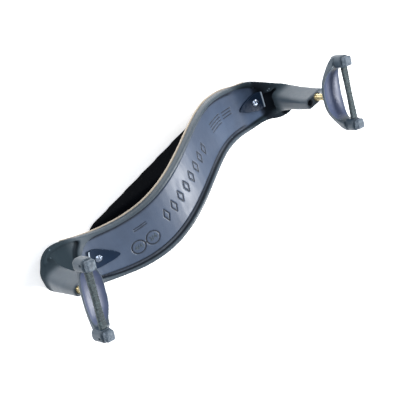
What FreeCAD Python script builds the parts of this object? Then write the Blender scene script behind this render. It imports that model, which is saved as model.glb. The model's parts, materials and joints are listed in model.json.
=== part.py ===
"""Violin shoulder rest, millimetres.

Frame: the rest lies pad down on a table. +Z points up, toward the violin's back,
+X runs along the rest toward its right foot, and +Y is the side facing the player's chin.
The origin is on the table, midway between the two height screws.
The moulded shell is an S in plan and an arch in elevation. At each end it turns up into
a riser, and a screw in the riser's top carries a foot.
"""
import FreeCAD, Part
import math
import os
import Sketcher

V = FreeCAD.Vector
NO_TURN = FreeCAD.Rotation()
SIGN = {"left": -1, "right": 1}
DOC = FreeCAD.newDocument("shoulder_rest")

# ---------------------------------------------------------------- driving dimensions
SIZES = {
    # shell: plan
    "half_pitch": 75.0,         # length scale of the S and of the arch
    "sway": 7.15,               # side sway of the centre line
    "sway_waves": 1.14,         # half waves of sway within one half_pitch
    "skew": 6.47,               # steady sideways drift of the centre line
    "waist_width": 33.4,        # width at mid length
    "width_loss": 4.45,         # narrower by this much one half_pitch out
    # shell: elevation
    "crown_height": 27.0,       # rim top above the table at mid length
    "arch_drop": 43.1,          # fall of the arch, square term
    "arch_rise": 23.1,          # rise again toward the ends, fourth power term
    "wall_height": 4.5,         # underside to rim top
    "rim_width": 2.2,
    "panel_floor": 1.7,         # plate left under the sunk panel
    "dish_floor": 1.8,          # plate left under the end dishes
    # lining and pad
    "liner_thickness": 1.4,
    "liner_overhang": 0.4,
    "liner_reach_left": 74.0,
    "liner_reach_right": 82.0,
    "pad_half_length": 57.5,
    "pad_half_width": 13.6,
    "pad_skew": 0.1,            # sideways drift of the pad, per millimetre of length
    "pad_corner": 7.0,
    "pad_edge": 1.2,
    # risers
    "riser_top": 41.6,
    "screw_spacing": 193.0,     # between the two height screws
    "screw_offset": 4.2,        # sideways from the centre line
    "hole_pitch": 6.5,          # outer hole to spare inner hole
    "hole_depth": 20.0,
    "mouth_chamfer": 0.7,
    "pocket_start": 84.0,       # hollow in the right riser's foot
    "pocket_deep": 10.6,
    "pocket_wide": 11.0,
    "pocket_top": 13.6,
    # height screws, M4
    "screw_radius": 2.0,
    "screw_below": 12.6,        # length held in the riser
    "screw_exposed": 9.2,
    "screw_socket": 3.4,        # length inside the foot
    "screw_chamfer": 0.4,
    "bore_radius": 2.05,        # of the riser's and the foot's screw holes
    "spare_radius": 1.7,        # of the empty inner hole, at its thread's crests
    # tongue plates and their screws
    "tongue_length": 18.0,
    "tongue_width": 11.0,
    "tongue_thickness": 1.2,
    "tongue_relief": 0.4,       # room round the plate where it runs under a riser
    "plate_hole_radius": 1.1,
    "plate_screw_radius": 1.0,
    "plate_screw_gap": 0.06,    # under the head, because the plate is slightly curved
    "plate_screw_head": 2.1,
    "plate_screw_length": 2.6,
    "plate_screw_dome": 0.9,
    "plate_screw_slot": 0.45,
    # feet
    "foot_half_length": 22.2,
    "foot_shift": 1.0,          # middle of the foot, along its length from the screw axis
    "foot_half_width": 6.8,
    "foot_turn": -15.0,         # degrees, long axis of the foot away from Y
    "claw_inner": 15.0,         # start of the claw block along the foot
    "claw_outboard": 5.4,       # middle of the claw block, outboard of the screw axis
    "claw_half_width": 3.9,
    "claw_base": 4.2,
    "claw_top": 12.8,
    "claw_round": 2.9,          # upright edges
    "claw_bevel": 1.0,          # edges of its upper and lower faces
    "boss_radius": 4.0,
    "boss_height": 3.8,
    "peg_size": 2.2,
    "peg_height": 1.6,
    "strap_width": 4.4,
    "strap_thickness": 2.4,
    "strap_height": 10.9,
    "plug_radius": 1.1,
    "plug_depth": 5.7,
    "tip_wide": 5.6,
    "tip_long": 5.6,
    "tip_tall": 3.0,
    "tip_round": 1.1,
    "strap_round": 0.9,
    "strap_pin_radius": 0.7,
    "strap_pin_chamfer": 0.15,
    "strap_pin_length": 4.6,
    "strap_pin_recess": 0.7,
    "strap_pin_reach": 4.3,     # from the start of the claw block to the pin
}

SHEET = DOC.addObject("Spreadsheet::Sheet", "Sizes")
for row, (alias, number) in enumerate(SIZES.items(), start=1):
    SHEET.set(f"A{row}", alias)
    SHEET.set(f"B{row}", str(number))
    SHEET.setAlias(f"B{row}", alias)
DOC.recompute()


def size(alias):
    """A driving dimension, read back from the sheet."""
    return float(SHEET.get(alias))


# ---------------------------------------------------------------- shell surfaces
def centre_y(x):
    along = x / size("half_pitch")
    return size("sway") * math.sin(size("sway_waves") * math.pi * along) + size("skew") * along


def half_width(x):
    return 0.5 * (size("waist_width") - size("width_loss") * (x / size("half_pitch")) ** 2)


def rim_z(x):
    """Rim top of the arch; past its lowest stretch the ends climb on a gentler line."""
    along = min(abs(x), 74.0) / size("half_pitch")
    climb = max(abs(x) - 74.0, 0.0)
    arch = size("crown_height") - size("arch_drop") * along**2 + size("arch_rise") * along**4
    return arch + 0.012 * climb**2


STATIONS = (0, 9, 18, 27, 36, 45, 54, 62, 70, 78, 86, 94, 103)


def arch_curve(drop):
    """Spline in the XZ plane that runs the given distance under the rim top."""
    xs = [-x for x in reversed(STATIONS[1:])] + list(STATIONS)
    curve = Part.BSplineCurve()
    curve.interpolate([V(x, -45, rim_z(x) - drop) for x in xs])
    return curve.toShape()


def slab(drop_top, drop_bottom):
    """Everything between two levels under the rim top, wide enough for the whole shell."""
    upper = arch_curve(drop_top)
    lower = arch_curve(drop_bottom)
    ends = [Part.LineSegment(upper.Vertexes[k].Point, lower.Vertexes[k].Point).toShape() for k in (0, 1)]
    return Part.Face(Part.Wire([upper, ends[1], lower, ends[0]])).extrude(V(0, 90, 0))


def loop_face(points):
    """Flat face inside a smooth closed curve through the points."""
    curve = Part.BSplineCurve()
    curve.interpolate(Points=[V(x, y, -5) for x, y in points], PeriodicFlag=True)
    return Part.Face(Part.Wire(curve.toShape()))


def prism(points):
    return loop_face(points).extrude(V(0, 0, 80))


# Plan outline of each end, listed from the +Y side round to the -Y side at the right end,
# and from the -Y side round to the +Y side at the left end, where the dish is larger.
RIGHT_END = [
    (75, 17.6), (82, 15.6), (88, 12.0), (94, 7.8), (99, 3.4), (102, -2.5), (101.6, -10),
    (97.6, -14.8), (92, -15.4), (85, -12.6), (78, -11.3),
]
LEFT_END = [
    (-75, -17.0), (-81, -14.0), (-86, -10.2), (-91, -5.4), (-94.6, -0.5), (-96, 5), (-95, 10.6),
    (-91.4, 14.6), (-86, 16.4), (-79, 15.6), (-73, 13.4), (-66, 10.6),
]
# Plan outline of the left dish, inside the rim and clear of the lip that ends the panel.
LEFT_DISH = [
    (-76, -14.0), (-73.9, -6.5), (-72.0, 0.2), (-69.8, 4.4), (-66.6, 8.0), (-72, 11.0), (-80, 13.2),
    (-86, 13.8), (-90.4, 12.2), (-92.6, 8.0), (-92.4, 3.0), (-89.4, -2.5), (-83.5, -8.8),
]
RIGHT_DISH = [
    (92.8, -12.9), (93.6, -9.6), (97, -9.0), (99.2, -8.2), (99.2, -10.6), (96.6, -13.2),
]


def band_edge(side, inset, xs):
    return [(x, centre_y(x) + side * (half_width(x) - inset)) for x in xs]


def shell_outline(overhang=0.0):
    """Outline of the moulding; an overhang moves the band's two long edges outward."""
    xs = [-56, -42, -28, -14, 0, 14, 28, 42, 56]
    plus = band_edge(1, -overhang, xs + [66])
    minus = band_edge(-1, -overhang, [68] + xs[::-1] + [-66])
    return plus + RIGHT_END + minus + LEFT_END


def panel_outline():
    """The sunk panel stops short of the left dish and runs up to the right riser."""
    xs = [-56, -42, -28, -14, 0, 14, 28, 42, 56]
    inset = size("rim_width")
    plus = band_edge(1, inset, xs + [68])
    minus = band_edge(-1, inset, [70] + xs[::-1])
    right = [(77, 14.6), (83, 11.2), (88, 5.0), (91, -3.0), (89.5, -8.0), (82, -8.8)]
    left = [(-64, -18.4), (-69.6, -15.0), (-71.4, -7.0), (-69.6, -0.4), (-64.6, 4.0)]
    return plus + right + minus + left


# ---------------------------------------------------------------- risers
# Sections from the foot of the riser to its top: height, x range, y range, corner radius.
RIGHT_RISER = [
    (6.0, 84.6, 100.0, -12.5, 7.0, 4.5),
    (14.0, 86.9, 102.0, -10.0, 3.6, 3.4),
    (27.0, 87.2, 102.8, -8.2, 0.4, 2.4),
    (None, 87.3, 102.6, -7.5, -0.9, 1.8),
]
LEFT_RISER = [
    (6.0, -96.2, -83.6, -4.0, 12.5, 4.5),
    (14.0, -98.6, -86.2, -2.0, 11.0, 4.0),
    (27.0, -100.0, -87.0, 0.2, 8.8, 3.2),
    (None, -100.4, -87.2, 0.9, 7.5, 2.8),
]


def rounded_rectangle(x0, x1, y0, y1, radius, z):
    """Closed wire of four lines and four corner arcs."""
    centres = [(x1 - radius, y1 - radius), (x0 + radius, y1 - radius),
               (x0 + radius, y0 + radius), (x1 - radius, y0 + radius)]
    edges = []
    for quarter, (cx, cy) in enumerate(centres):
        circle = Part.Circle(V(cx, cy, z), V(0, 0, 1), radius)
        start = quarter * math.pi / 2
        edges.append(circle.toShape(start, start + math.pi / 2))
    sides = []
    for index, arc in enumerate(edges):
        follower = edges[(index + 1) % 4]
        sides.append(Part.LineSegment(arc.lastVertex().Point, follower.firstVertex().Point).toShape())
    ordered = [edge for pair in zip(edges, sides) for edge in pair]
    return Part.Wire(ordered)


def riser(sections):
    wires = []
    for height, x0, x1, y0, y1, radius in sections:
        z = size("riser_top") if height is None else height
        wires.append(rounded_rectangle(x0, x1, y0, y1, radius, z))
    return Part.makeLoft(wires, True, False)


def screw_place(side, inner=False):
    """Axis of a screw hole: side is +1 at the right, -1 at the left."""
    reach = 0.5 * size("screw_spacing") - (size("hole_pitch") if inner else 0.0)
    return V(side * reach, -side * size("screw_offset"), 0)


def riser_hole(side, inner):
    """Screw hole with a chamfered mouth, as a solid to cut away."""
    place = screw_place(side, inner)
    top = size("riser_top")
    radius = size("spare_radius") if inner else size("bore_radius")
    chamfer = size("mouth_chamfer")
    bore = Part.makeCylinder(radius, size("hole_depth") + 1, V(place.x, place.y, top - size("hole_depth")))
    mouth = Part.makeCone(radius, radius + chamfer, chamfer, V(place.x, place.y, top - chamfer))
    return bore.fuse(mouth)


# ---------------------------------------------------------------- sub-parts
def feature(label, shape, placement=None):
    """A sub-part whose shape has no fitting primitive: label, shape, then placement."""
    holder = DOC.addObject("Part::Feature", label)
    holder.Label = label
    holder.Shape = shape
    if placement is not None:
        holder.Placement = placement
    return holder


# place of each tongue plate: side, x of its straight end, direction of its tip in degrees
TONGUES = {"left": (-66.4, -5.2, -22.0), "right": (86.6, 0.8, 172.0)}


def tongue_frame(side):
    x, y, turn = TONGUES[side]
    return FreeCAD.Placement(V(x, y, 0), FreeCAD.Rotation(V(0, 0, 1), turn))


def tongue_face(margin=0.0):
    """Leaf: straight at its root, widest near it, narrowing to a rounded tip along +X."""
    long = size("tongue_length") + margin
    half = 0.5 * size("tongue_width") + margin
    edge = Part.BSplineCurve()
    edge.interpolate([
        V(-margin, -0.86 * half, -5), V(0.22 * long, -half, -5), V(0.62 * long, -0.68 * half, -5),
        V(0.92 * long, -0.26 * half, -5), V(long, 0, -5), V(0.92 * long, 0.26 * half, -5),
        V(0.62 * long, 0.68 * half, -5), V(0.22 * long, half, -5), V(-margin, 0.86 * half, -5),
    ])
    curve = edge.toShape()
    root = Part.LineSegment(curve.lastVertex().Point, curve.firstVertex().Point).toShape()
    return Part.Face(Part.Wire([curve, root]))


def tongue_screw_place(side):
    local = V(0.32 * size("tongue_length"), 0, 0)
    return tongue_frame(side).multVec(local)


def tongue_screw_frame(side):
    """Frame of a tongue plate's screw: origin on the plate's top, Z square to it."""
    place = tongue_screw_place(side)
    level = rim_z(place.x) - size("wall_height") + size("panel_floor") + size("tongue_thickness")
    lean = math.degrees(math.atan2(rim_z(place.x + 1) - rim_z(place.x - 1), 2))
    return FreeCAD.Placement(V(place.x, place.y, level), FreeCAD.Rotation(V(0, 1, 0), -lean))


def tongue_hole(side):
    """Screw hole square to the plate, down through the plate and the shell under it."""
    hole = Part.makeCylinder(size("plate_hole_radius"), 9, V(0, 0, -6))
    hole.Placement = tongue_screw_frame(side)
    return hole


def tongue_room(side):
    """Room that a tongue plate needs over the sunk panel, a little larger all round."""
    drop = size("wall_height") - size("panel_floor")
    room = tongue_face(size("tongue_relief")).extrude(V(0, 0, 80))
    room.Placement = tongue_frame(side)
    return room.common(slab(drop - size("tongue_thickness") - size("tongue_relief"), drop))


def build_shell():
    outline = prism(shell_outline())
    tray = outline.common(slab(0.0, size("wall_height")))
    panel = prism(panel_outline()).common(slab(-6.0, size("wall_height") - size("panel_floor")))
    body = tray.cut(panel)

    above = outline_above()
    for dish, sections in ((LEFT_DISH, LEFT_RISER), (RIGHT_DISH, RIGHT_RISER)):
        body = body.cut(prism(dish).common(slab(-8.0, size("wall_height") - size("dish_floor"))))
        body = body.fuse(riser(sections).common(above))
    body = body.cut(riser_pocket())
    for side in (-1, 1):
        for inner_hole in (False, True):
            body = body.cut(riser_hole(side, inner_hole))
    for side in TONGUES:
        body = body.cut(tongue_room(side)).cut(tongue_hole(side))
    return body.removeSplitter()


def outline_above():
    """Room for the risers: everything over the shell's underside."""
    return slab(-60.0, size("wall_height"))


def riser_pocket():
    """Hollow in the foot of the right riser, open toward its tongue plate."""
    low = V(size("pocket_start"), -0.5 * size("pocket_wide") - 1.6, 0)
    box = Part.makeBox(size("pocket_deep"), size("pocket_wide"), size("pocket_top"), low)
    return box.common(slab(-60.0, size("wall_height") - size("panel_floor")))


def build_liner():
    sheet = prism(shell_outline(size("liner_overhang")))
    top = size("wall_height")
    reach = size("liner_reach_left")
    room = Part.makeBox(reach + size("liner_reach_right"), 90, 60, V(-reach, -45, -10))
    return sheet.common(slab(top, top + size("liner_thickness"))).common(room)


def build_pad():
    """Foam block that fills the arch: flat underneath, straight sided, rounded corners."""
    reach = size("pad_half_length")
    wide = size("pad_half_width")
    drift = size("pad_skew")
    square = ((-reach, -wide), (reach, -wide), (reach, wide), (-reach, wide))
    corners = [V(x, y + drift * x, 0) for x, y in square]
    block = Part.Face(Part.makePolygon(corners + corners[:1])).extrude(V(0, 0, 60))
    upright = [e for e in block.Edges if abs(e.tangentAt(e.FirstParameter).z) > 0.9]
    block = block.makeFillet(size("pad_corner"), upright)
    bottom = [e for e in block.Edges if e.BoundBox.ZMax < 0.01]
    block = block.makeChamfer(size("pad_edge"), bottom)
    return block.common(slab(size("wall_height") + size("liner_thickness"), 60.0))


def build_tongue(side):
    plate = tongue_face().extrude(V(0, 0, 80))
    plate.Placement = tongue_frame(side)
    drop = size("wall_height") - size("panel_floor")
    return plate.common(slab(drop - size("tongue_thickness"), drop)).cut(tongue_hole(side))


# ---------------------------------------------------------------- turned and moulded parts
def origin_plane(body, role):
    return next(plane for plane in body.Origin.OriginFeatures if plane.Role == role)


def sketch_on(body, role, name):
    sketch = body.newObject("Sketcher::SketchObject", name)
    sketch.AttachmentSupport = [(origin_plane(body, role), "")]
    sketch.MapMode = "FlatFace"
    return sketch


def centred_circle(sketch, radius):
    """Circle on the sketch's origin with its radius bound to the sheet."""
    curve = sketch.addGeometry(Part.Circle(V(0, 0, 0), V(0, 0, 1), 1.0), False)
    sketch.addConstraint(Sketcher.Constraint("Coincident", curve, 3, -1, 1))
    rule = sketch.addConstraint(Sketcher.Constraint("Radius", curve, 1.0))
    sketch.setExpression(f"Constraints[{rule}]", radius)


def turned_pin(label, radius, length, chamfer):
    """Round pin from the origin up +Z, both ends chamfered; sizes are sheet expressions."""
    body = DOC.addObject("PartDesign::Body", label)
    body.Label = label
    sketch = sketch_on(body, "XY_Plane", f"{label}_section")
    centred_circle(sketch, radius)
    pad = body.newObject("PartDesign::Pad", f"{label}_shank")
    pad.Profile = sketch
    pad.setExpression("Length", length)
    DOC.recompute()
    bevel = body.newObject("PartDesign::Chamfer", f"{label}_ends")
    rims = [f"Edge{k}" for k, edge in enumerate(pad.Shape.Edges, start=1) if edge.isClosed()]
    bevel.Base = (pad, rims)
    bevel.setExpression("Size", chamfer)
    DOC.recompute()
    body.Tip = bevel
    return body


def height_screw(side):
    """M4 stud: the lower end sits in the riser, the upper end in the foot's boss."""
    length = "Sizes.screw_below + Sizes.screw_exposed + Sizes.screw_socket"
    stud = turned_pin(f"{side}_height_screw", "Sizes.screw_radius", length, "Sizes.screw_chamfer")
    place = screw_place(SIGN[side])
    stud.Placement = FreeCAD.Placement(V(place.x, place.y, size("riser_top") - size("screw_below")), NO_TURN)
    return stud


def bound_loop(sketch, corners):
    """Closed polygon whose corners sit at sheet expressions; None puts a corner on that axis."""
    count = len(corners)
    rough = [V(1 + k % 3, 1 + k) for k in range(count)]
    for k in range(count):
        sketch.addGeometry(Part.LineSegment(rough[k], rough[(k + 1) % count]), False)
    for k, (across, up) in enumerate(corners):
        sketch.addConstraint(Sketcher.Constraint("Coincident", k, 2, (k + 1) % count, 1))
        for kind, axis, rule in (("DistanceX", -2, across), ("DistanceY", -1, up)):
            if rule is None:
                sketch.addConstraint(Sketcher.Constraint("PointOnObject", k, 1, axis))
            else:
                place = rough[k].x if kind == "DistanceX" else rough[k].y
                datum = sketch.addConstraint(Sketcher.Constraint(kind, -1, 1, k, 1, place))
                sketch.setExpression(f"Constraints[{datum}]", rule)


def plate_screw(side):
    """Small slotted screw that holds a tongue plate; its origin is the shank's lower end."""
    label = f"{side}_plate_screw"
    body = DOC.addObject("PartDesign::Body", label)
    body.Label = label
    shank, head = "Sizes.plate_screw_radius", "Sizes.plate_screw_head"
    seat = "Sizes.plate_screw_length"
    top = "Sizes.plate_screw_length + Sizes.plate_screw_dome"
    profile = sketch_on(body, "XZ_Plane", f"{label}_profile")
    shoulder = f"{seat} + 0.35 * Sizes.plate_screw_dome"
    bound_loop(profile, [(None, None), (shank, None), (shank, seat), (head, seat), (head, shoulder),
                         (f"0.6 * {head}", top), (None, top)])
    turned = body.newObject("PartDesign::Revolution", f"{label}_turned")
    turned.Profile = profile
    turned.ReferenceAxis = (profile, ["V_Axis"])
    turned.Angle = 360
    DOC.recompute()
    slot = sketch_on(body, "XY_Plane", f"{label}_slot_outline")
    slot.setExpression(".AttachmentOffset.Base.z", top)
    start, end = f"-1.2 * {head}", f"1.2 * {head}"
    near, far = "-0.5 * Sizes.plate_screw_slot", "0.5 * Sizes.plate_screw_slot"
    bound_loop(slot, [(start, near), (end, near), (end, far), (start, far)])
    pocket = body.newObject("PartDesign::Pocket", f"{label}_slot")
    pocket.Profile = slot
    pocket.setExpression("Length", "0.55 * Sizes.plate_screw_dome")
    DOC.recompute()
    body.Tip = pocket
    if pocket.Shape.Volume > turned.Shape.Volume - 0.1:
        raise RuntimeError(f"{label} has no slot")
    under_head = V(0, 0, size("plate_screw_gap") - size("plate_screw_length"))
    body.Placement = tongue_screw_frame(side).multiply(FreeCAD.Placement(under_head, NO_TURN))
    return body


# ---------------------------------------------------------------- feet
# A foot's own frame: Z runs up from the boss's underside, Y along the foot from its middle
# and X outboard, away from the middle of the rest. The screw axis is foot_shift short of Y = 0.
def foot_place(side):
    place = screw_place(SIGN[side])
    turn = size("foot_turn") + (0 if side == "right" else 180)
    height = size("riser_top") + size("screw_exposed")
    frame = FreeCAD.Placement(V(place.x, place.y, height), FreeCAD.Rotation(V(0, 0, 1), turn))
    return frame.multiply(FreeCAD.Placement(V(0, size("foot_shift"), 0), NO_TURN))


def mirrored(points):
    """The points of one half, and their mirror images back again."""
    return points + [(-along, up) for along, up in reversed(points) if along != 0]


def bow_face():
    """Side view of the foot's plate, bowed so that both ends turn up into the claw blocks."""
    reach = size("foot_half_length")
    inner = size("claw_inner")
    top = size("claw_base") + 3.4
    under = [(-reach + 0.6, top), (-0.93 * reach, 4.8), (-0.72 * reach, 2.6), (-0.4 * reach, 1.7), (0, 1.4)]
    over = [(-inner - 1, top), (-0.97 * inner, 6.0), (-0.62 * inner, 4.2), (0, 3.4)]
    under, over = mirrored(under), mirrored(over)
    curves = []
    for points in (under, over):
        curve = Part.BSplineCurve()
        curve.interpolate([V(-40, along, up) for along, up in points])
        curves.append(curve.toShape())
    ends = [Part.LineSegment(V(-40, *under[k]), V(-40, *over[k])).toShape() for k in (0, -1)]
    return Part.Face(Part.Wire([curves[0], ends[1], curves[1], ends[0]]))


def leaf_prism():
    """Plan of the plate: widest at the screw, narrowing and drifting outboard to its ends."""
    reach = size("foot_half_length")
    wide = size("foot_half_width")
    halves = [(0.0, -wide, wide + 0.6), (0.35, 0.8 - wide, wide + 0.5), (0.72, -1.4, 6.9), (1.0, 2.0, 7.4)]
    inner = mirrored([(-share * reach, low) for share, low, _ in reversed(halves)])
    outer = mirrored([(-share * reach, high) for share, _, high in reversed(halves)])
    curves = []
    for points in (inner, outer):
        curve = Part.BSplineCurve()
        curve.interpolate([V(across, along, -1) for along, across in points])
        curves.append(curve.toShape())
    ends = [Part.LineSegment(V(inner[k][1], inner[k][0], -1), V(outer[k][1], outer[k][0], -1)).toShape()
            for k in (0, -1)]
    return Part.Face(Part.Wire([curves[0], ends[1], curves[1], ends[0]])).extrude(V(0, 0, 40))


def claw_middle(end):
    """Middle of a claw block's top; end is +1 or -1 along the foot."""
    along = 0.5 * (size("claw_inner") + size("foot_half_length"))
    return V(size("claw_outboard"), end * along, size("claw_top"))


def box_about(centre, wide, long, low, high):
    """Upright box about a vertical axis through the centre, between two heights."""
    return Part.makeBox(wide, long, high - low, V(centre.x - 0.5 * wide, centre.y - 0.5 * long, low))


def claw_block(end):
    """Rounded block at one end of the foot, proud of the plate on its outboard side."""
    wide = 2 * size("claw_half_width")
    long = size("foot_half_length") - size("claw_inner")
    block = box_about(claw_middle(end), wide, long, size("claw_base"), size("claw_top"))
    upright = [e for e in block.Edges if e.BoundBox.ZLength > 1]
    block = block.makeFillet(size("claw_round"), upright)
    flat = [e for e in block.Edges if e.BoundBox.ZLength < 0.01]
    return block.makeFillet(size("claw_bevel"), flat)


def strap_line(end, start):
    """Point on the strap's middle line, the given distance along the foot."""
    return V(size("claw_outboard"), end * start, size("strap_height"))


def build_foot():
    """Bowed plate, claw blocks and screw boss, with seats for the parts the foot carries."""
    plate = bow_face().extrude(V(80, 0, 0)).common(leaf_prism())
    axis = V(0, -size("foot_shift"), 0)
    plate = plate.fuse(Part.makeCylinder(size("boss_radius"), size("boss_height"), axis))
    bore = size("bore_radius")
    plate = plate.cut(Part.makeCylinder(bore, size("screw_socket") + 0.1, axis - V(0, 0, 0.1)))
    peg = size("peg_size")
    for end in (-1, 1):
        plate = plate.fuse(claw_block(end))
        top = size("claw_top")
        plate = plate.fuse(box_about(claw_middle(end), peg, peg, top - 1, top + size("peg_height")))
        socket = Part.makeCylinder(size("plug_radius"), size("plug_depth") + 0.5,
                                   strap_line(end, size("claw_inner") - 0.5), V(0, end, 0))
        drill = strap_line(end, size("claw_inner") + size("strap_pin_reach"))
        drill.x += size("claw_half_width") + 1
        deep = size("strap_pin_length") + size("strap_pin_recess") + 1
        pin_hole = Part.makeCylinder(size("strap_pin_radius"), deep, drill, V(-1, 0, 0))
        plate = plate.cut(socket).cut(pin_hole)
    return plate.removeSplitter()


def bound(kind, name, corner, turn=NO_TURN, **rules):
    """Part primitive at a place in the foot's frame, with its sizes bound to the sheet."""
    item = DOC.addObject(kind, name)
    for prop, rule in rules.items():
        item.setExpression(prop, rule)
    item.Placement = FreeCAD.Placement(corner, turn)
    return item


def rounded(base, radius, wanted):
    """Part::Fillet over the base's edges that the test picks."""
    DOC.recompute()
    item = DOC.addObject("Part::Fillet", f"{base.Name}_rounded")
    item.Base = base
    item.Edges = [(k, radius, radius) for k, edge in enumerate(base.Shape.Edges, start=1) if wanted(edge)]
    return item


def without(base, tool, label, place):
    """Part::Cut as a finished sub-part."""
    item = DOC.addObject("Part::Cut", label)
    item.Label = label
    item.Base = base
    item.Tool = tool
    item.Placement = place
    return item


def strap_pin_start(end):
    """Outboard end of the pin that runs through a claw block and the strap's plug."""
    start = strap_line(end, size("claw_inner") + size("strap_pin_reach"))
    start.x += size("claw_half_width") - size("strap_pin_recess")
    return start


INBOARD = FreeCAD.Rotation(V(0, 1, 0), -90)


def strap_pin(label, end, place):
    pin = turned_pin(label, "Sizes.strap_pin_radius", "Sizes.strap_pin_length", "Sizes.strap_pin_chamfer")
    pin.Placement = place.multiply(FreeCAD.Placement(strap_pin_start(end), INBOARD))
    return pin


def grip_strap(label, place):
    """Rubber strap stretched between the claw blocks, with a round plug on each end."""
    inner, reach = size("claw_inner"), size("claw_inner") + size("plug_depth")
    corner = strap_line(-1, inner) - V(0.5 * size("strap_width"), 0, 0.5 * size("strap_thickness"))
    bar = bound("Part::Box", f"{label}_bar", corner, Length="Sizes.strap_width",
                Width="2 * Sizes.claw_inner", Height="Sizes.strap_thickness")
    along = rounded(bar, size("strap_round"), lambda edge: abs(edge.tangentAt(edge.FirstParameter).y) > 0.9)
    plug = bound("Part::Cylinder", f"{label}_plugs", strap_line(-1, reach), FreeCAD.Rotation(V(1, 0, 0), -90),
                 Radius="Sizes.plug_radius", Height="2 * (Sizes.claw_inner + Sizes.plug_depth)")
    whole = DOC.addObject("Part::Fuse", f"{label}_whole")
    whole.Base = along
    whole.Tool = plug
    holes = DOC.addObject("Part::MultiFuse", f"{label}_pin_holes")
    holes.Shapes = [
        bound("Part::Cylinder", f"{label}_pin_hole", strap_pin_start(end), INBOARD,
              Radius="Sizes.strap_pin_radius", Height="Sizes.strap_pin_length")
        for end in (-1, 1)
    ]
    return without(whole, holes, label, place)


def claw_tip(label, end, place):
    """Soft claw tip, rounded all over its top, with a square pocket for the block's peg."""
    axis, low = claw_middle(end), size("claw_top")
    corner = axis - V(0.5 * size("tip_wide"), 0.5 * size("tip_long"), 0)
    block = bound("Part::Box", f"{label}_block", corner, Length="Sizes.tip_wide", Width="Sizes.tip_long",
                  Height="Sizes.tip_tall")
    soft = rounded(block, size("tip_round"), lambda edge: edge.BoundBox.ZMax > low + 0.1)
    peg_corner = axis - V(0.5 * size("peg_size"), 0.5 * size("peg_size"), 0)
    pocket = bound("Part::Box", f"{label}_pocket", peg_corner, Length="Sizes.peg_size",
                   Width="Sizes.peg_size", Height="Sizes.peg_height")
    return without(soft, pocket, label, place)


shell = feature("body_shell", build_shell())
liner = feature("underside_liner", build_liner())
pad = feature("shoulder_pad", build_pad())
PARTS = [shell, liner, pad]
for side, sign in SIGN.items():
    place = foot_place(side)
    PARTS.append(feature(f"{side}_tongue_plate", build_tongue(side)))
    PARTS.append(plate_screw(side))
    PARTS.append(height_screw(side))
    PARTS.append(feature(f"{side}_foot_plate", build_foot(), place))
    PARTS.append(grip_strap(f"{side}_grip_strap", place))
    for end in (-1, 1):
        corner = "front" if end * sign > 0 else "rear"
        PARTS.append(claw_tip(f"{side}_{corner}_claw_tip", end, place))
        PARTS.append(strap_pin(f"{side}_{corner}_strap_pin", end, place))

DOC.recompute()
os.makedirs("parts", exist_ok=True)
for item in DOC.Objects:
    if {"Invalid", "Error"} & set(item.State):
        raise RuntimeError(f"{item.Label} failed: {item.State}")
for item in PARTS:
    if item.Shape.isNull() or not item.Shape.isValid():
        raise RuntimeError(f"{item.Label} has no valid shape")
    print(item.Label, len(item.Shape.Solids), round(item.Shape.Volume, 1), item.Shape.BoundBox)
    item.Shape.exportStep(f"parts/{item.Label}.step")
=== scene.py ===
"""Looks of a violin shoulder rest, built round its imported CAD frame. Blender metres, row frame."""
import json
import math

import bmesh
import bpy
import numpy as np
from mathutils import Matrix, Vector


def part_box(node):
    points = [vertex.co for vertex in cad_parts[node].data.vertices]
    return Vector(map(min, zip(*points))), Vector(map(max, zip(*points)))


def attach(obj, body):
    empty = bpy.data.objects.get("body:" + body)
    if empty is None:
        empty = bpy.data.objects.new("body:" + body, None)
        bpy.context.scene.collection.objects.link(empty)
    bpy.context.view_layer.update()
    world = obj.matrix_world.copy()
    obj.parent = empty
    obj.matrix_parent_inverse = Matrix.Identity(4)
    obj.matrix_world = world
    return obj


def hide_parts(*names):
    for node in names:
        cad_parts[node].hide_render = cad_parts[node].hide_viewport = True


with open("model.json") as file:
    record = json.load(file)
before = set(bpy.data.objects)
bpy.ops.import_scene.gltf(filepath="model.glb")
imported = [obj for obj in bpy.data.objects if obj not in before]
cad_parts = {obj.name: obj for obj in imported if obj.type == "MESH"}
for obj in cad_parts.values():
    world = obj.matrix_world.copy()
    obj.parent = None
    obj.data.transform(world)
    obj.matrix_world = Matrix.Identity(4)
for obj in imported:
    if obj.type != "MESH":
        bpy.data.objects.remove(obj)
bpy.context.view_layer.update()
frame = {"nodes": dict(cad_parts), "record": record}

MM = 0.001
SIDES = {"left": -1, "right": 1}
CLAWS = ("front", "rear")
RECORD = frame["record"]

# ---------------------------------------------------------------- shape of the band, millimetres
HALF_PITCH = 75.0           # length scale of the S and of the arch
CROWN = 27.0                # rim top above the table at mid length
PANEL_DROP = 2.8            # sunk panel under the rim top
HOLE_PITCH = 6.5            # screw hole to the spare hole
# ---------------------------------------------------------------- a foot, in its own frame, millimetres
FOOT_TURN = math.radians(-15)
FOOT_SHIFT = 1.0            # middle of the foot from the screw axis, along the foot
FOOT_REACH = 22.2
CLAW_START = 15.0           # inner face of a claw block along the foot
STRAP_MIDDLE = 5.4          # of the strap's width, outboard of the foot's own axis
BOSS_RADIUS = 4.0


def centre_y(x):
    """Middle of the S-shaped band at x, in millimetres."""
    along = x / HALF_PITCH
    return 7.15 * np.sin(1.14 * math.pi * along) + 6.47 * along


def half_width(x):
    return 16.7 - 2.225 * (x / HALF_PITCH) ** 2


def rim_z(x):
    """Rim top of the arch at x; past its lowest stretch the ends climb on a gentler line."""
    along = np.minimum(np.abs(x), 74.0) / HALF_PITCH
    climb = np.maximum(np.abs(x) - 74.0, 0.0)
    return CROWN - 43.1 * along**2 + 23.1 * along**4 + 0.012 * climb**2


def joint_place(name):
    joint = next(j for j in RECORD["behaviour"]["joints"] if j["name"] == name)
    return Vector(joint["pos_m"])


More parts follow.
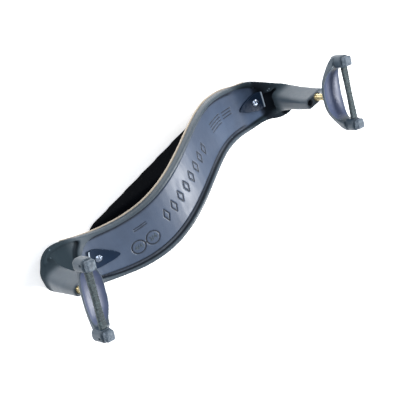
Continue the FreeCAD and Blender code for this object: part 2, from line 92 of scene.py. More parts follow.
def foot_frame(side):
    """A foot's own frame: Y along the foot, X outboard, Z up from the boss's underside."""
    turn = FOOT_TURN + (0 if side == "right" else math.pi)
    place = Matrix.Translation(joint_place(f"{side}_foot_turn"))
    return place @ Matrix.Rotation(turn, 4, "Z") @ Matrix.Translation((0, FOOT_SHIFT * MM, 0))


# ---------------------------------------------------------------- mesh helpers
def read(mesh, what="co"):
    numbers = np.empty(len(mesh.vertices) * 3, dtype=np.float32)
    if what == "co":
        mesh.vertices.foreach_get("co", numbers)
    else:
        mesh.vertices.foreach_get("normal", numbers)
    return numbers.reshape(-1, 3).astype(np.float64)


def write(mesh, places):
    mesh.vertices.foreach_set("co", places.astype(np.float32).ravel())
    mesh.update()


def in_frame(places, matrix):
    """Places in metres, seen from a frame, in millimetres."""
    inverse = np.array(matrix.inverted())
    return (places @ inverse[:3, :3].T + inverse[:3, 3]) / MM


def from_frame(local, matrix):
    forward = np.array(matrix)
    return local * MM @ forward[:3, :3].T + forward[:3, 3]


def turned(normals, matrix):
    return normals @ np.array(matrix)[:3, :3]


def smoothstep(low, high, value):
    share = np.clip((value - low) / (high - low), 0.0, 1.0)
    return share * share * (3 - 2 * share)


def new_piece(name, mesh):
    piece = bpy.data.objects.new(name, mesh)
    bpy.context.scene.collection.objects.link(piece)
    return piece


def bake(piece):
    """Replaces the piece's mesh by what its modifiers make of it."""
    graph = bpy.context.evaluated_depsgraph_get()
    shape = bpy.data.meshes.new_from_object(piece.evaluated_get(graph))
    piece.modifiers.clear()
    piece.data = shape


def skin(piece, voxel):
    """One closed even skin over everything in the piece; voxel in millimetres."""
    piece.data.transform(Matrix.Scale(1 / MM, 4))
    remesh = piece.modifiers.new("skin", "REMESH")
    remesh.mode = "VOXEL"
    remesh.voxel_size = voxel
    bake(piece)
    piece.data.transform(Matrix.Scale(MM, 4))
    piece.data.materials.clear()


def copy_of(node, name, voxel):
    """A new piece that starts as an even skin over a CAD node."""
    piece = new_piece(name, frame["nodes"][node].data.copy())
    skin(piece, voxel)
    return piece


def settle(mesh, values, rounds, pull):
    """Draws each vertex's value toward the mean of its neighbours' values."""
    count = len(mesh.vertices)
    ends = np.empty(len(mesh.edges) * 2, dtype=np.int32)
    mesh.edges.foreach_get("vertices", ends)
    first, second = ends[0::2], ends[1::2]
    degree = np.maximum(np.bincount(ends, minlength=count), 1)
    for _ in range(rounds):
        total = np.bincount(first, values[second], count) + np.bincount(second, values[first], count)
        values = values + pull * (total / degree - values)
    return values


def relax(piece, rounds, weight=None, step=0.5):
    """Moves every vertex toward its neighbours' middle; weight is 0 (fixed) to 1, per vertex."""
    places = read(piece.data)
    pull = step if weight is None else step * weight
    lines = [settle(piece.data, places[:, axis], rounds, pull) for axis in range(3)]
    write(piece.data, np.stack(lines, axis=1))


def finish_piece(piece, material, body, slot, *nodes):
    """Smooth shading, material, the body the piece moves with, and hiding of the CAD nodes it replaces."""
    piece.data.materials.clear()
    piece.data.materials.append(material)
    piece.data.polygons.foreach_set("use_smooth", [True] * len(piece.data.polygons))
    piece.data.update()
    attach(piece, body)
    if nodes:
        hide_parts(*nodes)


# ---------------------------------------------------------------- materials
def srgb(red, green, blue):
    """Linear colour from 0-255 screen values."""
    shares = [value / 255 for value in (red, green, blue)]
    return tuple(s / 12.92 if s <= 0.04045 else ((s + 0.055) / 1.055) ** 2.4 for s in shares) + (1.0,)


class Nodes:
    """A material's node tree, with short ways to add and join nodes."""

    def __init__(self, name):
        self.material = bpy.data.materials.new(name)
        self.material.use_nodes = True
        self.tree = self.material.node_tree
        self.shader = self.tree.nodes["Principled BSDF"]
        self.place = self.add("ShaderNodeTexCoord").outputs["Object"]

    def add(self, kind, **settings):
        node = self.tree.nodes.new(kind)
        for key, value in settings.items():
            setattr(node, key, value)
        return node

    def join(self, source, target):
        self.tree.links.new(source, target)

    def noise(self, per_metre, detail=3.0, stretch=None, roughness=0.55):
        texture = self.add("ShaderNodeTexNoise")
        texture.inputs["Scale"].default_value = per_metre
        texture.inputs["Detail"].default_value = detail
        texture.inputs["Roughness"].default_value = roughness
        place = self.place
        if stretch is not None:
            mapping = self.add("ShaderNodeMapping")
            mapping.inputs["Scale"].default_value = stretch
            self.join(self.place, mapping.inputs["Vector"])
            place = mapping.outputs["Vector"]
        self.join(place, texture.inputs["Vector"])
        return texture.outputs["Fac"]

    def cells(self, per_metre):
        texture = self.add("ShaderNodeTexVoronoi")
        texture.inputs["Scale"].default_value = per_metre
        self.join(self.place, texture.inputs["Vector"])
        return texture.outputs["Distance"]

    def band(self, value, low, high, start=0.0, end=1.0):
        """The value stretched from low..high to start..end, with ends held."""
        node = self.add("ShaderNodeMapRange")
        for name, number in (("From Min", low), ("From Max", high), ("To Min", start), ("To Max", end)):
            node.inputs[name].default_value = number
        self.join(value, node.inputs["Value"])
        return node.outputs["Result"]

    def blend(self, share, first, second):
        """Mix of two colours; each is a colour or another node's output."""
        node = self.add("ShaderNodeMix", data_type="RGBA")
        for colour, socket in ((first, node.inputs[6]), (second, node.inputs[7])):
            if isinstance(colour, tuple):
                socket.default_value = colour
            else:
                self.join(colour, socket)
        self.join(share, node.inputs[0])
        return node.outputs[2]

    def edges(self, low=0.52, high=0.62):
        """1 on sharp outer edges, 0 elsewhere; used to paint a highlight along them."""
        return self.band(self.add("ShaderNodeNewGeometry").outputs["Pointiness"], low, high)

    def shade_in_hollows(self, low=0.36, high=0.49):
        """1 in grooves and inner corners, 0 elsewhere: where shade is painted."""
        return self.band(self.add("ShaderNodeNewGeometry").outputs["Pointiness"], low, high, 1.0, 0.0)

    def bump(self, heights):
        """Chain of bumps: (height output, strength, distance in millimetres)."""
        normal = None
        for height, strength, distance in heights:
            node = self.add("ShaderNodeBump")
            node.inputs["Strength"].default_value = strength
            node.inputs["Distance"].default_value = distance * MM
            self.join(height, node.inputs["Height"])
            if normal is not None:
                self.join(normal, node.inputs["Normal"])
            normal = node.outputs["Normal"]
        self.join(normal, self.shader.inputs["Normal"])

    def surface(self, colour, rough, specular=0.5, metallic=0.0):
        self.join(colour, self.shader.inputs["Base Color"])
        if isinstance(rough, float):
            self.shader.inputs["Roughness"].default_value = rough
        else:
            self.join(rough, self.shader.inputs["Roughness"])
        self.shader.inputs["Specular IOR Level"].default_value = specular
        self.shader.inputs["Metallic"].default_value = metallic


# painted shade: near-black colour laid into grooves, holes, inner corners and the foot of the rim's inner
# wall
HOLLOW_SHADE = srgb(14, 18, 26)
# painted shade: darker colour for the low scooped ends of the shell
DISH_SHADE = srgb(40, 51, 58)


def moulded(name, base, deep, edge_highlight, rough=(0.36, 0.48), panel=None, grain=0.05, specular=0.5):
    """Satin moulded plastic: cloudy colour, fine grain, painted shade in grooves, hollows and end dishes, and
    a painted highlight along outer edges.
    """
    nodes = Nodes(name)
    cloud = nodes.band(nodes.noise(38, 4), 0.35, 0.65)
    colour = nodes.blend(cloud, deep, base)
    if panel is not None:
        mask = nodes.add("ShaderNodeAttribute", attribute_name="panel").outputs["Fac"]
        low = nodes.add("ShaderNodeAttribute", attribute_name="dish_shade").outputs["Fac"]
        # painted shade in the scooped end dishes; the same mask also dulls their gloss below
        colour = nodes.blend(low, colour, DISH_SHADE)
        # panel colours: a bluer tint on the shell's panel and the feet's hollows, and on the tongue plates a
        # painted highlight along the lip
        colour = nodes.blend(mask, colour, nodes.blend(cloud, panel[0], panel[1]))
        cut = nodes.add("ShaderNodeAttribute", attribute_name="groove_shade").outputs["Fac"]
        # painted shade in the engraving, the channel, the rim's inner foot, the right end's pocket and the
        # spare holes
        colour = nodes.blend(nodes.band(cut, 0, 1, 0, 0.85), colour, HOLLOW_SHADE)
    # painted shade in grooves and inner corners, found from pointiness
    colour = nodes.blend(nodes.band(nodes.shade_in_hollows(), 0, 1, 0, 0.8), colour, HOLLOW_SHADE)
    # painted highlight along sharp outer edges
    colour = nodes.blend(nodes.band(nodes.edges(), 0, 1, 0, 0.45), colour, edge_highlight)
    scuffs = nodes.noise(420, 5, stretch=(1, 0.25, 1))
    shine = nodes.band(scuffs, 0.3, 0.7, *rough)
    if panel is None:
        nodes.surface(colour, shine, specular)
    else:
        duller = nodes.add("ShaderNodeMath", operation="ADD", use_clamp=True)
        nodes.join(shine, duller.inputs[0])
        nodes.join(nodes.band(low, 0, 1, 0, 0.5), duller.inputs[1])
        nodes.surface(colour, duller.outputs[0])
        nodes.join(nodes.band(low, 0, 1, specular, 0.12), nodes.shader.inputs["Specular IOR Level"])
    nodes.bump([(nodes.noise(2600, 2), 0.35, grain), (nodes.noise(160, 3), 0.2, 0.12)])
    return nodes.material


def lining():
    """Cream felt: soft, matte, with short fibres."""
    nodes = Nodes("cream_lining")
    fibres = nodes.noise(2400, 6, stretch=(1, 3, 1))
    colour = nodes.blend(nodes.band(fibres, 0.35, 0.7), srgb(176, 160, 140), srgb(222, 211, 194))
    nodes.surface(colour, 0.92, specular=0.15)
    nodes.shader.inputs["Sheen Weight"].default_value = 0.3
    nodes.bump([(fibres, 0.7, 0.12)])
    return nodes.material


def foam():
    """Black foam: tiny open cells and a faint dusty bloom."""
    nodes = Nodes("black_foam")
    cells = nodes.cells(1500)
    colour = nodes.blend(nodes.band(nodes.noise(60, 4), 0.3, 0.7), srgb(2, 3, 5), srgb(4, 6, 9))
    colour = nodes.blend(nodes.band(cells, 0.15, 0.6, 0.0, 0.4), colour, srgb(9, 11, 15))
    nodes.surface(colour, 0.95, specular=0.03)
    nodes.bump([(cells, 0.6, 0.14), (nodes.noise(240, 3), 0.3, 0.2)])
    return nodes.material


def rubber(name, base, light, mottle):
    """Rubber with a mottled, slightly dusty surface, and a painted highlight along its outer edges."""
    nodes = Nodes(name)
    patches = nodes.band(nodes.noise(mottle, 4, roughness=0.7), 0.42, 0.66)
    colour = nodes.blend(patches, base, light)
    # painted highlight along sharp outer edges
    colour = nodes.blend(nodes.band(nodes.edges(), 0, 1, 0, 0.3), colour, light)
    nodes.surface(colour, nodes.band(nodes.noise(700, 3), 0.3, 0.7, 0.5, 0.7), specular=0.4)
    nodes.bump([(nodes.noise(1800, 4), 0.4, 0.08)])
    return nodes.material


def metal(name, base, tint, rough):
    """Turned metal with fine tool lines round its axis."""
    nodes = Nodes(name)
    colour = nodes.blend(nodes.band(nodes.noise(300, 3), 0.3, 0.7), tint, base)
    nodes.surface(colour, nodes.band(nodes.noise(900, 3), 0.3, 0.7, rough - 0.06, rough + 0.08), metallic=1.0)
    nodes.bump([(nodes.noise(1500, 2, stretch=(1, 1, 6)), 0.15, 0.03)])
    return nodes.material


def paper_floor():
    nodes = Nodes("pale_floor")
    colour = nodes.blend(nodes.band(nodes.noise(3, 2), 0.3, 0.7), srgb(246, 247, 249), srgb(250, 250, 251))
    nodes.surface(colour, 0.85, specular=0.1)
    nodes.shader.inputs["Emission Color"].default_value = (1, 1, 1, 1)
    nodes.shader.inputs["Emission Strength"].default_value = 0.45
    return nodes.material


SHELL = moulded("slate_shell", srgb(66, 78, 88), srgb(56, 67, 76), srgb(120, 134, 146),
                panel=(srgb(62, 75, 96), srgb(74, 88, 110)), grain=0.11)
FOOT = moulded("slate_foot", srgb(60, 74, 86), srgb(48, 61, 72), srgb(124, 140, 152),
               panel=(srgb(58, 68, 96), srgb(68, 79, 108)))
# the tongue's pale panel pair is a painted highlight on its raised lip
BLUE = moulded("petrol_tongue", srgb(12, 34, 58), srgb(8, 26, 46), srgb(110, 132, 156), rough=(0.4, 0.55),
               panel=(srgb(160, 176, 192), srgb(190, 203, 215)), specular=0.18)
PIN = moulded("black_pin", srgb(20, 21, 24), srgb(14, 15, 18), srgb(60, 62, 66))
LINING = lining()
FOAM = foam()
STRAP = rubber("strap_rubber", srgb(36, 46, 50), srgb(74, 88, 92), 700)
TIP = rubber("tip_rubber", srgb(66, 78, 90), srgb(112, 124, 136), 420)
BRASS = metal("turned_brass", srgb(240, 226, 186), srgb(222, 200, 146), 0.18)
STEEL = metal("turned_steel", srgb(176, 188, 206), srgb(140, 152, 172), 0.26)

# ---------------------------------------------------------------- moulded shell
ENGRAVE_DEPTH = 0.4
ENGRAVE_HALF = 0.34         # half width of a bold stroke
FINE_SHARE = 0.85           # depth of a fine line as a share of a bold stroke's
RING_RADIUS = 3.75
RINGS = ((-39.6, -14.7), (-30.9, -14.2))
BAR_COUNT = 8
BAR_PITCH = 6.0
BAR_START = 2.0             # moves the row of lozenges off the middle, clear of the rings
PANEL_LIP = ((-14, -7, 0, 4, 8), (-73.5, -72.6, -71.0, -67.4, -64.0))   # y, then x of the left lip
PANEL_END = 85.0
GROOVE_WIDE = 0.9           # channel round the panel
GROOVE_IN = 1.3             # from the foot of the rim's inner wall to the channel's middle
GROOVE_DEEP = 0.7
RIM_WIDE = 2.2
BORE_CLEAR = 2.3            # visible radius of a screw hole
BORE_FLOOR = 21.6           # bottom of a screw hole above the table
SHELL_VOXEL = 0.4


def segment_distance(x, y, start, end):
    """Distance in plan from every place to one straight stroke."""
    dx, dy = end[0] - start[0], end[1] - start[1]
    share = np.clip(((x - start[0]) * dx + (y - start[1]) * dy) / (dx * dx + dy * dy), 0, 1)
    return np.hypot(x - start[0] - share * dx, y - start[1] - share * dy)


def band_point(x, across):
    """Place in plan at a distance across the band from its middle line, square to it."""
    slope = (centre_y(x + 0.5) - centre_y(x - 0.5))
    length = math.hypot(1, slope)
    return x - across * slope / length, float(centre_y(x)) + across / length


def lozenge(x, tall, wide, lean):
    """Four strokes of a leaning lozenge that stands across the band."""
    corners = [band_point(x + dx, across) for dx, across in
               ((-lean, -tall), (wide, -0.15 * tall), (lean, tall), (-wide, 0.15 * tall))]
    return list(zip(corners, corners[1:] + corners[:1]))


def ruled_lines(x_start, x_end, offsets):
    """Fine lines that follow the band."""
    strokes = []
    stations = np.linspace(x_start, x_end, 6)
    for across in offsets:
        points = [band_point(x, across) for x in stations]
        strokes += list(zip(points, points[1:]))
    return strokes


def engraving():
    """Plain pattern of the panel: bars along the middle, ruled lines, two size rings and a dash."""
    first = -0.5 * (BAR_COUNT - 1) * BAR_PITCH
    strokes = []
    for k in range(BAR_COUNT):
        strokes += lozenge(first + k * BAR_PITCH + BAR_START, 3.6, 1.5, 0.9)
    fine = ruled_lines(38, 50, (4.2, 2.4, 0.6, -1.2)) + ruled_lines(53, 62, (3.4, 1.6, -0.2))
    fine += ruled_lines(-38, -30, (6.0, 4.8))
    (ax, ay), (bx, by) = RINGS
    middle = 0.5 * (ax + bx)
    strokes.append(((middle - 0.3, 0.5 * (ay + by)), (middle + 0.3, 0.5 * (ay + by))))
    return strokes, fine


def engraved_depth(x, y):
    """Depth of the panel's pattern at places in plan, in millimetres."""
    strokes, fine = engraving()
    bold = np.full(len(x), 9.0)
    for start, end in strokes:
        bold = np.minimum(bold, segment_distance(x, y, start, end))
    for cx, cy in RINGS:
        bold = np.minimum(bold, np.abs(np.hypot(x - cx, y - cy) - RING_RADIUS))
    thin = np.full(len(x), 9.0)
    for start, end in fine:
        thin = np.minimum(thin, segment_distance(x, y, start, end))
    deep = ENGRAVE_DEPTH * (1 - smoothstep(0.4 * ENGRAVE_HALF, 1.3 * ENGRAVE_HALF, bold))
    return np.maximum(deep, FINE_SHARE * ENGRAVE_DEPTH * (1 - smoothstep(0.1, 0.42, thin)))


def panel_share(places, normals):
    """1 on the sunk panel's floor, falling softly to 0 at its edges."""
    x, z = places[:, 0], places[:, 2]
    level = np.abs(z - (rim_z(x) - PANEL_DROP))
    inside = half_width(x) - 1.8 - np.abs(places[:, 1] - centre_y(x))
    lip = np.interp(places[:, 1], *PANEL_LIP)
    share = smoothstep(0.6, 0.9, normals[:, 2]) * (1 - smoothstep(0.4, 0.9, level))
    share = share * smoothstep(-0.2, 0.4, inside)
    return share * smoothstep(-0.4, 0.4, x - lip) * smoothstep(-0.4, 0.4, PANEL_END - x)


def add_mask(mesh, name, share, rounds):
    """Stores a share per vertex, softened, for a material to read."""
    mask = mesh.attributes.new(name, "FLOAT", "POINT")
    mask.data.foreach_set("value", settle(mesh, share, rounds, 0.5).astype(np.float32))


def split_near(piece, wanted, cuts):
    """Finer faces where both ends of an edge are wanted."""
    mesh = bmesh.new()
    mesh.from_mesh(piece.data)
    mesh.verts.ensure_lookup_table()
    edges = [e for e in mesh.edges if wanted[e.verts[0].index] and wanted[e.verts[1].index]]
    bmesh.ops.subdivide_edges(mesh, edges=edges, cuts=cuts, use_grid_fill=True)
    mesh.to_mesh(piece.data)
    mesh.free()


def open_bore(piece, axis):
    """Keeps a screw hole's wall and floor clear of the screw at its lowest."""
    places = read(piece.data) / MM
    off = places[:, :2] - np.array((axis.x, axis.y))
    far = np.maximum(np.hypot(off[:, 0], off[:, 1]), 0.01)
    inside = (far < BORE_CLEAR) & (places[:, 2] > BORE_FLOOR - 0.5)
    wall = inside & (places[:, 2] > BORE_FLOOR + 1.2)
    floor = inside & ~wall
    reach = np.where(wall, BORE_CLEAR / far, 1.0)
    places[:, :2] = np.array((axis.x, axis.y)) + off * reach[:, None]
    places[:, 2] = np.where(floor, np.minimum(places[:, 2], BORE_FLOOR - 0.4), places[:, 2])
    write(piece.data, places * MM)


def distance_from_hole(places, side, inward):
    """Distance in plan from a riser's screw hole, or from a hole so far inward of it."""
    axis = joint_place(f"{side}_foot_turn") / MM
    return np.hypot(places[:, 0] - axis.x + SIDES[side] * inward, places[:, 1] - axis.y)


def blend_ends(piece):
    """Softens the dishes and the risers' feet, and leaves the walls of the holes alone."""
    places = read(piece.data) / MM
    near_hole = np.zeros(len(places))
    for side in SIDES:
        for inward in (0.0, HOLE_PITCH):
            off = distance_from_hole(places, side, inward)
            near_hole = np.maximum(near_hole, 1 - smoothstep(2.6, 3.6, off))
    ends = smoothstep(70, 80, np.abs(places[:, 0])) * (1 - smoothstep(24, 32, places[:, 2]))
    relax(piece, 34, ends * (1 - near_hole))


def refine_engraving(piece):
    """Finer faces where the panel's pattern runs."""
    places = read(piece.data) / MM
    share = panel_share(places, read(piece.data, "normal"))
    close = (share > 0) & (engraved_depth(places[:, 0], places[:, 1]) > 0)
    split_near(piece, close, 2)


def wall_foot(x, rise, inside):
    """1 low on the rim's inner wall, 0 elsewhere, where shade is painted; rise is from the panel, inside from
    the band's edge.
    """
    share = smoothstep(0.12, 0.4, rise) * (1 - smoothstep(1.3, 2.0, rise))
    return share * smoothstep(1.0, 1.5, inside) * (1 - smoothstep(66, 72, np.abs(x)))


def cut_panel(piece):
    """Sinks the pattern and the channel, then stores where the shell is panel, where shade is painted in the
    end dishes, and where dark shade is painted in the grooves, the rim's inner foot, the pocket and the spare
    holes.
    """
    places = read(piece.data) / MM
    share = panel_share(places, read(piece.data, "normal"))
    x = places[:, 0]
    engraved = engraved_depth(x, places[:, 1])
    to_wall = half_width(x) - RIM_WIDE - np.abs(places[:, 1] - centre_y(x))
    channel = 1 - smoothstep(0.3 * GROOVE_WIDE, 0.75 * GROOVE_WIDE, np.abs(to_wall - GROOVE_IN))
    channel *= 1 - smoothstep(66, 71, np.abs(x))
    places[:, 2] -= share * np.maximum(engraved, GROOVE_DEEP * channel)
    write(piece.data, places * MM)
    relax(piece, 2, smoothstep(0.0, 0.3, channel))
    z = places[:, 2]
    # painted shade for the scooped end dishes
    dish_shade = smoothstep(64, 76, np.abs(x)) * (1 - smoothstep(14, 21, z))
    # painted shade: the pocket at the right riser's foot, then the cut pattern, the rim's inner foot and the
    # spare holes
    pocket_shade = smoothstep(81, 84, x) * (1 - smoothstep(8, 14, z))
    cut = share * np.maximum(smoothstep(0.1, 0.3, engraved), channel)
    groove_shade = np.maximum(cut, wall_foot(x, z - (rim_z(x) - PANEL_DROP), to_wall + RIM_WIDE))
    groove_shade = np.maximum(groove_shade, pocket_shade)
    for side in SIDES:
        spare = 1 - smoothstep(2.0, 2.4, distance_from_hole(places, side, HOLE_PITCH))
        groove_shade = np.maximum(groove_shade, spare * smoothstep(20, 24, z))
    add_mask(piece.data, "panel", share, 3)
    add_mask(piece.data, "dish_shade", dish_shade, 3)
    add_mask(piece.data, "groove_shade", groove_shade, 1)


def build_shell():
    """Moulded body: rounded rims, soft blends at the risers, and the panel's pattern."""
    piece = copy_of("body_shell", "moulded_shell", SHELL_VOXEL)
    relax(piece, 8)
    blend_ends(piece)
    refine_engraving(piece)
    cut_panel(piece)
    for side in SIDES:
        open_bore(piece, joint_place(f"{side}_foot_turn") / MM)
    finish_piece(piece, SHELL, "rest", "shell_plastic", "body_shell")


def size_numbers():
    """Raised size numbers inside the two rings."""
    for label, words, (x, y) in (("size_full", "4/4", RINGS[0]), ("size_three_quarter", "3/4", RINGS[1])):
        curve = bpy.data.curves.new(label, "FONT")
        curve.body = words
        curve.size = 3.7 * MM
        curve.align_x = "CENTER"
        curve.align_y = "CENTER"
        curve.extrude = 0.12 * MM
        curve.bevel_depth = 0.05 * MM
        curve.offset = 0.03 * MM
        holder = new_piece(f"{label}_outline", curve)
        graph = bpy.context.evaluated_depsgraph_get()
        mesh = bpy.data.meshes.new_from_object(holder.evaluated_get(graph))
        bpy.data.objects.remove(holder)
        piece = new_piece(f"{label}_number", mesh)
        slope = math.atan2(float(rim_z(x + 1) - rim_z(x - 1)), 2)
        heading = math.atan2(float(centre_y(x + 1) - centre_y(x - 1)), 2)
        level = float(rim_z(x)) - PANEL_DROP
        place = Matrix.Translation(Vector((x, y, level)) * MM)
        mesh.transform(place @ Matrix.Rotation(-slope, 4, "Y") @ Matrix.Rotation(heading, 4, "Z"))
        finish_piece(piece, SHELL, "rest", "shell_plastic")


def build_lining():
    piece = copy_of("underside_liner", "cream_lining", 0.32)
    relax(piece, 12)
    finish_piece(piece, LINING, "rest", "liner_felt", "underside_liner")


# ---------------------------------------------------------------- foam pad
PAD_VOXEL = 1.4
PAD_SWELL = 1.1


def swell(piece):
    """Cloth pressure fills the pad's sides, while its glued top and resting base stay put."""
    start = read(piece.data)
    low, high = start[:, 2].min(), start[:, 2].max()
    top = (read(piece.data, "normal")[:, 2] > 0.6)
    group = piece.vertex_groups.new(name="held")
    held = np.where(top | (start[:, 2] < low + 1.2 * MM))[0]
    group.add([int(k) for k in held], 1.0, "REPLACE")
    cloth = piece.modifiers.new("cloth", "CLOTH")
    cloth.settings.vertex_group_mass = "held"
    cloth.settings.use_pressure = True
    cloth.settings.uniform_pressure_force = 4
    cloth.settings.effector_weights.gravity = 0
    scene = bpy.context.scene
    for step in range(1, 13):
        scene.frame_set(step)
    bake(piece)
    scene.frame_set(1)
    places = read(piece.data)
    move = places - start
    far = np.linalg.norm(move, axis=1)
    limit = PAD_SWELL * MM
    share = np.minimum(1.0, limit / np.maximum(far, 1e-9))
    places = start + move * share[:, None]
    places[:, 2] = np.clip(places[:, 2], low, high)
    write(piece.data, places)


def build_pad():
    """Foam block that fills the arch, with sides that swell between top and base."""
    piece = copy_of("shoulder_pad", "foam_pad", PAD_VOXEL)
    relax(piece, 3)
    swell(piece)
    smooth = piece.modifiers.new("smooth", "SUBSURF")
    smooth.levels = 1
    bake(piece)
    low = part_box("shoulder_pad")[0][2]
    places = read(piece.data)
    places[:, 2] = np.maximum(places[:, 2], low)
    write(piece.data, places)
    finish_piece(piece, FOAM, "rest", "pad_foam", "shoulder_pad")


# ---------------------------------------------------------------- height screws
THREAD_PITCH = 0.7
THREAD_OUTER = 1.99
THREAD_INNER = 1.66
SCREW_END = 1.3             # top of the visible screw inside the foot's boss


def lathe(name, rows, around):
    """Closed round mesh from rows of (height, radius function of angle), capped at both ends."""
    mesh = bmesh.new()
    rings = []
    angles = [2 * math.pi * k / around for k in range(around)]
    for height, radius in rows:
        places = [(radius(a) * math.cos(a), radius(a) * math.sin(a), height) for a in angles]
        rings.append([mesh.verts.new(place) for place in places])
    for low, high in zip(rings, rings[1:]):
        for k in range(around):
            after = (k + 1) % around
            mesh.faces.new((low[k], low[after], high[after], high[k]))
    mesh.faces.new(rings[0][::-1])
    mesh.faces.new(rings[-1])
    data = bpy.data.meshes.new(name)
    mesh.to_mesh(data)
    mesh.free()
    return data


def build_screw(side):
    """M4 stud with a rolled thread and chamfered ends."""
    low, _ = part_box(f"{side}_height_screw")
    axis = joint_place(f"{side}_foot_turn")
    bottom = low[2] / MM
    top = axis.z / MM + SCREW_END

    def radius_at(height):
        end = min(height - bottom, top - height)

        def radius(angle):
            phase = (height / THREAD_PITCH - angle / (2 * math.pi)) % 1.0
            crest = min(1.0, max(0.0, 1.7 - 3.4 * abs(phase - 0.5)))
            thread = THREAD_INNER + (THREAD_OUTER - THREAD_INNER) * crest
            return min(thread, THREAD_INNER - 0.25 + end) * MM
        return radius

    count = int((top - bottom) / (THREAD_PITCH / 10))
    heights = [bottom + (top - bottom) * k / count for k in range(count + 1)]
    mesh = lathe(f"{side}_stud", [(z * MM, radius_at(z)) for z in heights], 40)
    mesh.transform(Matrix.Translation((axis.x, axis.y, 0)))
    piece = new_piece(f"{side}_stud", mesh)
    finish_piece(piece, BRASS, f"{side}_screw", "brass", f"{side}_height_screw")


# ---------------------------------------------------------------- feet
DENT = 1.15                 # depth of the hollow in a foot plate's upper face
PLUG_RADIUS = 2.4           # closes the boss above the screw's end
PLUG_TOP = 3.7
LEAF_STATIONS = (0.0, 0.35, 0.72, 1.0)
LEAF_INNER = (-6.8, -6.0, -1.4, 2.0)
LEAF_OUTER = (7.4, 7.3, 6.9, 7.4)


def plate_top(along):
    """Height of the bowed plate's upper face over the middle of its width."""
    return 3.4 + 0.00716 * along**2 + 2.42e-5 * along**4


def cylinder_in(frame_matrix, radius, low, high, y):
    """Short plug, as mesh data in a foot's frame, in millimetres."""
    mesh = lathe("plug", [(low * MM, lambda _: radius * MM), (high * MM, lambda _: radius * MM)], 24)
    mesh.transform(frame_matrix @ Matrix.Translation((0, y * MM, 0)))
    return mesh


def add_mesh(piece, extra):
    mesh = bmesh.new()
    mesh.from_mesh(piece.data)
    mesh.from_mesh(extra)
    mesh.to_mesh(piece.data)
    mesh.free()


def build_foot(side):
    """Bowed leaf plate, hollowed above, with a claw block at each end."""
    matrix = foot_frame(side)
    node = f"{side}_foot_plate"
    piece = new_piece(f"{side}_claw_foot", frame["nodes"][node].data.copy())
    add_mesh(piece, cylinder_in(matrix, PLUG_RADIUS, SCREW_END + 0.3, PLUG_TOP, -FOOT_SHIFT))
    skin(piece, 0.27)
    local = in_frame(read(piece.data), matrix)
    facing = turned(read(piece.data, "normal"), matrix)[:, 2]
    x, y, z = local[:, 0], local[:, 1], local[:, 2]
    share = np.abs(y) / FOOT_REACH
    inner, outer = np.interp(share, LEAF_STATIONS, LEAF_INNER), np.interp(share, LEAF_STATIONS, LEAF_OUTER)
    across = (x - 0.5 * (inner + outer)) / (0.5 * (outer - inner))
    upper = (facing > 0.25) & (np.abs(y) < CLAW_START - 0.2) & (z < plate_top(y) + 0.8) & (z > 1.0)
    on_boss = upper & (np.hypot(x, y + FOOT_SHIFT) < BOSS_RADIUS + 0.6)
    z = np.where(on_boss, np.minimum(z, plate_top(y)), z)
    hollow = DENT * np.clip(1 - across**4, 0, 1) * np.clip(1 - (y / CLAW_START) ** 4, 0, 1)
    local[:, 2] = np.where(upper, z - hollow, z)
    write(piece.data, from_frame(local, matrix))
    relax(piece, 7)
    inner_face = upper * smoothstep(0.1, 0.4, hollow)
    add_mask(piece.data, "panel", inner_face, 4)
    finish_piece(piece, FOOT, f"{side}_foot", "foot_plastic", node)


def build_strap(side):
    """Rubber strap with fine moulded ribs across it."""
    matrix = foot_frame(side)
    piece = copy_of(f"{side}_grip_strap", f"{side}_ribbed_strap", 0.2)
    relax(piece, 3)
    local = in_frame(read(piece.data), matrix)
    normals = turned(read(piece.data, "normal"), matrix)
    span = 1 - smoothstep(CLAW_START - 1.2, CLAW_START - 0.4, np.abs(local[:, 1]))
    ribs = 0.13 * np.sin(2 * math.pi * local[:, 1] / 1.25) - 0.1
    pinch = -0.35 * np.cos(0.5 * math.pi * local[:, 1] / CLAW_START) ** 2
    off_middle = local[:, 0] - STRAP_MIDDLE
    local[:, 2] += span * ribs * np.sign(normals[:, 2]) * (np.abs(normals[:, 2]) > 0.5)
    local[:, 0] += span * pinch * np.sign(off_middle) * smoothstep(0.2, 1.6, np.abs(off_middle))
    write(piece.data, from_frame(local, matrix))
    finish_piece(piece, STRAP, f"{side}_foot", "strap_rubber", f"{side}_grip_strap")


def build_tip(side, claw):
    piece = copy_of(f"{side}_{claw}_claw_tip", f"{side}_{claw}_rubber_tip", 0.2)
    relax(piece, 4)
    finish_piece(piece, TIP, f"{side}_foot", "tip_rubber", f"{side}_{claw}_claw_tip")


# ---------------------------------------------------------------- tongue plates and their screws
# middle of each straight end in plan, and the heading from it to the tip
TONGUE_STARTS = {"left": (-66.4, -5.2, -22.0), "right": (86.6, 0.8, 172.0)}
LIP_RISE = 0.3


def build_tongue(side):
    """Leaf plate with a small raised lip along its straight end, painted with a pale highlight."""
    piece = copy_of(f"{side}_tongue_plate", f"{side}_tongue", 0.15)
    relax(piece, 5)
    places = read(piece.data) / MM
    start_x, start_y, heading = TONGUE_STARTS[side]
    turn = math.radians(heading)
    along = (places[:, 0] - start_x) * math.cos(turn) + (places[:, 1] - start_y) * math.sin(turn)
    lip = (1 - smoothstep(0.5, 1.0, along)) * (read(piece.data, "normal")[:, 2] > 0.3)
    places[:, 2] += LIP_RISE * lip
    write(piece.data, places * MM)
    # painted highlight: the lip takes BLUE's pale panel colours
    add_mask(piece.data, "panel", lip, 1)
    finish_piece(piece, BLUE, "rest", "tongue_blue", f"{side}_tongue_plate")


def build_plate_screw(side):
    piece = copy_of(f"{side}_plate_screw", f"{side}_slotted_screw", 0.07)
    relax(piece, 6)
    finish_piece(piece, STEEL, "rest", "steel", f"{side}_plate_screw")


# ---------------------------------------------------------------- stage, lights, camera
TO_CAMERA = Vector((-0.502, 0.399, 0.768)).normalized()
IMAGE_RIGHT = Vector((0.650, -0.411, 0.639))
CAMERA_DISTANCE = 0.7


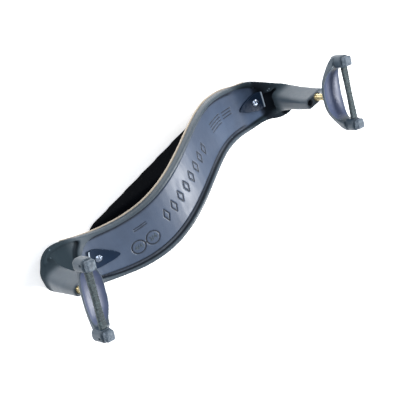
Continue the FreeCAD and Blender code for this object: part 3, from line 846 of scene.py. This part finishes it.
def area_light(name, direction, distance, size, power, colour=(1, 1, 1), target=(0, 0, 0.03)):
    light = bpy.data.lights.new(name, "AREA")
    light.shape = "DISK"
    light.size = size
    light.energy = power
    light.color = colour
    holder = bpy.data.objects.new(name, light)
    way = Vector(direction).normalized()
    holder.location = Vector(target) + way * distance
    holder.rotation_euler = way.to_track_quat("Z", "Y").to_euler()
    bpy.context.scene.collection.objects.link(holder)


def build_stage():
    mesh = bmesh.new()
    bmesh.ops.create_grid(mesh, x_segments=8, y_segments=8, size=3.0)
    data = bpy.data.meshes.new("floor")
    mesh.to_mesh(data)
    mesh.free()
    floor = new_piece("floor", data)
    floor.location.z = -0.0002
    data.materials.append(paper_floor())
    world = bpy.context.scene.world or bpy.data.worlds.new("studio")
    bpy.context.scene.world = world
    world.use_nodes = True
    sky = world.node_tree.nodes["Background"]
    sky.inputs["Color"].default_value = (0.93, 0.96, 1.0, 1.0)
    sky.inputs["Strength"].default_value = 0.52
    area_light("key", (0.42, -0.34, 0.80), 0.9, 0.3, 10.0)
    area_light("fill", (-0.5, 0.9, 0.75), 1.1, 0.7, 4.0, (0.92, 0.96, 1.0))
    area_light("rim", (0.9, 0.5, 0.5), 1.0, 0.4, 2.5)
    bpy.context.scene.view_settings.view_transform = "Standard"


def build_camera():
    camera = bpy.data.cameras.new("camera")
    camera.sensor_width = 36
    camera.lens = 114.7
    camera.shift_x = 0.024
    camera.shift_y = -0.038
    camera.clip_start = 0.01
    holder = bpy.data.objects.new("camera", camera)
    right = (IMAGE_RIGHT - TO_CAMERA * IMAGE_RIGHT.dot(TO_CAMERA)).normalized()
    up = TO_CAMERA.cross(right)
    turn = Matrix((right, up, TO_CAMERA)).transposed().to_4x4()
    holder.matrix_world = Matrix.Translation(Vector((0, 0, CROWN * MM)) + TO_CAMERA * CAMERA_DISTANCE) @ turn
    bpy.context.scene.collection.objects.link(holder)
    bpy.context.scene.camera = holder


build_shell()
size_numbers()
build_lining()
build_pad()
for foot_side in SIDES:
    build_screw(foot_side)
    build_foot(foot_side)
    build_strap(foot_side)
    build_tongue(foot_side)
    build_plate_screw(foot_side)
    for foot_claw in CLAWS:
        build_tip(foot_side, foot_claw)
        pin = frame["nodes"][f"{foot_side}_{foot_claw}_strap_pin"]
        pin.data.materials.clear()
        pin.data.materials.append(PIN)
build_stage()
build_camera()

bpy.context.view_layer.update()
